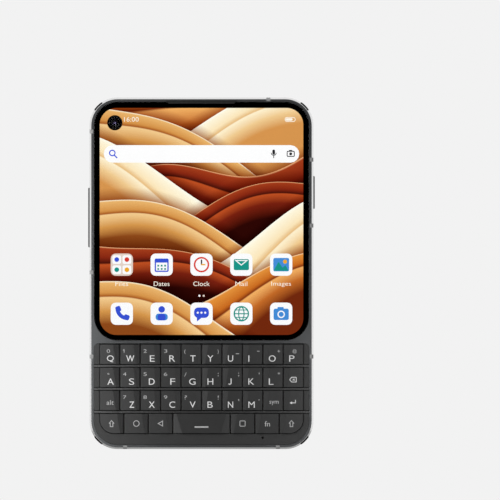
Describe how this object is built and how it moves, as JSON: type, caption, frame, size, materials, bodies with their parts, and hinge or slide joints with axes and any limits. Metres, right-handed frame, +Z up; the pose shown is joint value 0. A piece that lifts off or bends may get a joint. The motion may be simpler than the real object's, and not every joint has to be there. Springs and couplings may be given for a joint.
{
  "type": "keyboard smartphone",
  "caption": "Bar phone with a touch display above a fixed four-row keyboard, rubber corner inserts and a camera window on its back.",
  "frame": {"origin": "middle of the bottom edge, on the plane that the bottom edge stands on, halfway between the foremost and the rearmost point", "axes": "+X to the right of the person who looks at the display, +Y from the display to the back, +Z up the phone"},
  "size_m": [0.076, 0.0118, 0.1178],
  "materials": {
    "frame_metal": "dark satin anodised, bright polished bevels",
    "band_plastic": "matte grey",
    "bumper_rubber": "matte black",
    "cover_glass": "clear, polished",
    "gasket_black": "black",
    "display": "lit picture of warm bands",
    "lens_black": "black, polished",
    "mesh_metal": "dark fine mesh",
    "bezel_plastic": "dark satin",
    "fret_metal": "dark satin",
    "key_plastic": "dark satin, white legends",
    "mat_rubber": "translucent grey",
    "board_green": "green solder mask, steel cans",
    "cover_plastic": "dark grey, fine satin",
    "window_glass": "black, polished",
    "battery_foil": "dark wrap over foil",
    "port_steel": "plain steel",
    "speaker_plastic": "black",
    "side_metal": "dark satin anodised",
    "screw_steel": "plain steel"
  },
  "bodies": {
    "phone": {"mid_frame": "frame_metal", "antenna_bands": "band_plastic", "corner_bumpers": "bumper_rubber", "cover_glass": "cover_glass", "display_gasket": "gasket_black", "display_panel": "display", "front_camera": "lens_black", "earpiece": "mesh_metal", "keyboard_bezel": "bezel_plastic", "frets": "fret_metal", "key_mat": "mat_rubber", "keyboard_board": "board_green", "back_cover": "cover_plastic", "camera_window": "window_glass", "rear_cameras": "lens_black", "main_board": "board_green", "battery": "battery_foil", "usb_port": "port_steel", "loudspeaker": "speaker_plastic", "screws": "screw_steel"},
    "sim_tray": {"sim_tray": "side_metal"},
    "volume_key": {"volume_key": "side_metal"},
    "power_key": {"power_key": "side_metal"},
    "key_shift_left": {"key_shift_left": "key_plastic"},
    "key_circle": {"key_circle": "key_plastic"},
    "key_back": {"key_back": "key_plastic"},
    "key_space": {"key_space": "key_plastic"},
    "key_square": {"key_square": "key_plastic"},
    "key_fn": {"key_fn": "key_plastic"},
    "key_shift_right": {"key_shift_right": "key_plastic"},
    "key_alt": {"key_alt": "key_plastic"},
    "key_z": {"key_z": "key_plastic"},
    "key_x": {"key_x": "key_plastic"},
    "key_c": {"key_c": "key_plastic"},
    "key_v": {"key_v": "key_plastic"},
    "key_b": {"key_b": "key_plastic"},
    "key_n": {"key_n": "key_plastic"},
    "key_m": {"key_m": "key_plastic"},
    "key_sym": {"key_sym": "key_plastic"},
    "key_enter": {"key_enter": "key_plastic"},
    "key_a": {"key_a": "key_plastic"},
    "key_s": {"key_s": "key_plastic"},
    "key_d": {"key_d": "key_plastic"},
    "key_f": {"key_f": "key_plastic"},
    "key_g": {"key_g": "key_plastic"},
    "key_h": {"key_h": "key_plastic"},
    "key_j": {"key_j": "key_plastic"},
    "key_k": {"key_k": "key_plastic"},
    "key_l": {"key_l": "key_plastic"},
    "key_backspace": {"key_backspace": "key_plastic"},
    "key_q": {"key_q": "key_plastic"},
    "key_w": {"key_w": "key_plastic"},
    "key_e": {"key_e": "key_plastic"},
    "key_r": {"key_r": "key_plastic"},
    "key_t": {"key_t": "key_plastic"},
    "key_y": {"key_y": "key_plastic"},
    "key_u": {"key_u": "key_plastic"},
    "key_i": {"key_i": "key_plastic"},
    "key_o": {"key_o": "key_plastic"},
    "key_p": {"key_p": "key_plastic"}
  },
  "joints": [
    {"name": "tray_slide", "type": "slide", "parent": "phone", "child": "sim_tray", "axis": [-1, 0, 0], "range_m": [0, 0.014]},
    {"name": "volume_rock", "type": "hinge", "parent": "phone", "child": "volume_key", "pos_m": [-0.0352, -0.00057, 0.07759], "axis": [0, 1, 0], "range_deg": [-1.2, 1.2], "stiffness_Nm_per_rad": 0.6},
    {"name": "power_press", "type": "slide", "parent": "phone", "child": "power_key", "axis": [-1, 0, 0], "range_m": [0, 0.0003], "stiffness_N_per_m": 3000, "springref_m": -0.0001},
    {"name": "shift_left_press", "type": "slide", "parent": "phone", "child": "key_shift_left", "axis": [0, 1, 0], "range_m": [0, 0.00035], "stiffness_N_per_m": 2500, "springref_m": -0.0001},
    {"name": "circle_press", "type": "slide", "parent": "phone", "child": "key_circle", "axis": [0, 1, 0], "range_m": [0, 0.00035], "stiffness_N_per_m": 2500, "springref_m": -0.0001},
    {"name": "back_press", "type": "slide", "parent": "phone", "child": "key_back", "axis": [0, 1, 0], "range_m": [0, 0.00035], "stiffness_N_per_m": 2500, "springref_m": -0.0001},
    {"name": "space_press", "type": "slide", "parent": "phone", "child": "key_space", "axis": [0, 1, 0], "range_m": [0, 0.00035], "stiffness_N_per_m": 2500, "springref_m": -0.0001},
    {"name": "square_press", "type": "slide", "parent": "phone", "child": "key_square", "axis": [0, 1, 0], "range_m": [0, 0.00035], "stiffness_N_per_m": 2500, "springref_m": -0.0001},
    {"name": "fn_press", "type": "slide", "parent": "phone", "child": "key_fn", "axis": [0, 1, 0], "range_m": [0, 0.00035], "stiffness_N_per_m": 2500, "springref_m": -0.0001},
    {"name": "shift_right_press", "type": "slide", "parent": "phone", "child": "key_shift_right", "axis": [0, 1, 0], "range_m": [0, 0.00035], "stiffness_N_per_m": 2500, "springref_m": -0.0001},
    {"name": "alt_press", "type": "slide", "parent": "phone", "child": "key_alt", "axis": [0, 1, 0], "range_m": [0, 0.00035], "stiffness_N_per_m": 2500, "springref_m": -0.0001},
    {"name": "z_press", "type": "slide", "parent": "phone", "child": "key_z", "axis": [0, 1, 0], "range_m": [0, 0.00035], "stiffness_N_per_m": 2500, "springref_m": -0.0001},
    {"name": "x_press", "type": "slide", "parent": "phone", "child": "key_x", "axis": [0, 1, 0], "range_m": [0, 0.00035], "stiffness_N_per_m": 2500, "springref_m": -0.0001},
    {"name": "c_press", "type": "slide", "parent": "phone", "child": "key_c", "axis": [0, 1, 0], "range_m": [0, 0.00035], "stiffness_N_per_m": 2500, "springref_m": -0.0001},
    {"name": "v_press", "type": "slide", "parent": "phone", "child": "key_v", "axis": [0, 1, 0], "range_m": [0, 0.00035], "stiffness_N_per_m": 2500, "springref_m": -0.0001},
    {"name": "b_press", "type": "slide", "parent": "phone", "child": "key_b", "axis": [0, 1, 0], "range_m": [0, 0.00035], "stiffness_N_per_m": 2500, "springref_m": -0.0001},
    {"name": "n_press", "type": "slide", "parent": "phone", "child": "key_n", "axis": [0, 1, 0], "range_m": [0, 0.00035], "stiffness_N_per_m": 2500, "springref_m": -0.0001},
    {"name": "m_press", "type": "slide", "parent": "phone", "child": "key_m", "axis": [0, 1, 0], "range_m": [0, 0.00035], "stiffness_N_per_m": 2500, "springref_m": -0.0001},
    {"name": "sym_press", "type": "slide", "parent": "phone", "child": "key_sym", "axis": [0, 1, 0], "range_m": [0, 0.00035], "stiffness_N_per_m": 2500, "springref_m": -0.0001},
    {"name": "enter_press", "type": "slide", "parent": "phone", "child": "key_enter", "axis": [0, 1, 0], "range_m": [0, 0.00035], "stiffness_N_per_m": 2500, "springref_m": -0.0001},
    {"name": "a_press", "type": "slide", "parent": "phone", "child": "key_a", "axis": [0, 1, 0], "range_m": [0, 0.00035], "stiffness_N_per_m": 2500, "springref_m": -0.0001},
    {"name": "s_press", "type": "slide", "parent": "phone", "child": "key_s", "axis": [0, 1, 0], "range_m": [0, 0.00035], "stiffness_N_per_m": 2500, "springref_m": -0.0001},
    {"name": "d_press", "type": "slide", "parent": "phone", "child": "key_d", "axis": [0, 1, 0], "range_m": [0, 0.00035], "stiffness_N_per_m": 2500, "springref_m": -0.0001},
    {"name": "f_press", "type": "slide", "parent": "phone", "child": "key_f", "axis": [0, 1, 0], "range_m": [0, 0.00035], "stiffness_N_per_m": 2500, "springref_m": -0.0001},
    {"name": "g_press", "type": "slide", "parent": "phone", "child": "key_g", "axis": [0, 1, 0], "range_m": [0, 0.00035], "stiffness_N_per_m": 2500, "springref_m": -0.0001},
    {"name": "h_press", "type": "slide", "parent": "phone", "child": "key_h", "axis": [0, 1, 0], "range_m": [0, 0.00035], "stiffness_N_per_m": 2500, "springref_m": -0.0001},
    {"name": "j_press", "type": "slide", "parent": "phone", "child": "key_j", "axis": [0, 1, 0], "range_m": [0, 0.00035], "stiffness_N_per_m": 2500, "springref_m": -0.0001},
    {"name": "k_press", "type": "slide", "parent": "phone", "child": "key_k", "axis": [0, 1, 0], "range_m": [0, 0.00035], "stiffness_N_per_m": 2500, "springref_m": -0.0001},
    {"name": "l_press", "type": "slide", "parent": "phone", "child": "key_l", "axis": [0, 1, 0], "range_m": [0, 0.00035], "stiffness_N_per_m": 2500, "springref_m": -0.0001},
    {"name": "backspace_press", "type": "slide", "parent": "phone", "child": "key_backspace", "axis": [0, 1, 0], "range_m": [0, 0.00035], "stiffness_N_per_m": 2500, "springref_m": -0.0001},
    {"name": "q_press", "type": "slide", "parent": "phone", "child": "key_q", "axis": [0, 1, 0], "range_m": [0, 0.00035], "stiffness_N_per_m": 2500, "springref_m": -0.0001},
    {"name": "w_press", "type": "slide", "parent": "phone", "child": "key_w", "axis": [0, 1, 0], "range_m": [0, 0.00035], "stiffness_N_per_m": 2500, "springref_m": -0.0001},
    {"name": "e_press", "type": "slide", "parent": "phone", "child": "key_e", "axis": [0, 1, 0], "range_m": [0, 0.00035], "stiffness_N_per_m": 2500, "springref_m": -0.0001},
    {"name": "r_press", "type": "slide", "parent": "phone", "child": "key_r", "axis": [0, 1, 0], "range_m": [0, 0.00035], "stiffness_N_per_m": 2500, "springref_m": -0.0001},
    {"name": "t_press", "type": "slide", "parent": "phone", "child": "key_t", "axis": [0, 1, 0], "range_m": [0, 0.00035], "stiffness_N_per_m": 2500, "springref_m": -0.0001},
    {"name": "y_press", "type": "slide", "parent": "phone", "child": "key_y", "axis": [0, 1, 0], "range_m": [0, 0.00035], "stiffness_N_per_m": 2500, "springref_m": -0.0001},
    {"name": "u_press", "type": "slide", "parent": "phone", "child": "key_u", "axis": [0, 1, 0], "range_m": [0, 0.00035], "stiffness_N_per_m": 2500, "springref_m": -0.0001},
    {"name": "i_press", "type": "slide", "parent": "phone", "child": "key_i", "axis": [0, 1, 0], "range_m": [0, 0.00035], "stiffness_N_per_m": 2500, "springref_m": -0.0001},
    {"name": "o_press", "type": "slide", "parent": "phone", "child": "key_o", "axis": [0, 1, 0], "range_m": [0, 0.00035], "stiffness_N_per_m": 2500, "springref_m": -0.0001},
    {"name": "p_press", "type": "slide", "parent": "phone", "child": "key_p", "axis": [0, 1, 0], "range_m": [0, 0.00035], "stiffness_N_per_m": 2500, "springref_m": -0.0001}
  ]
}
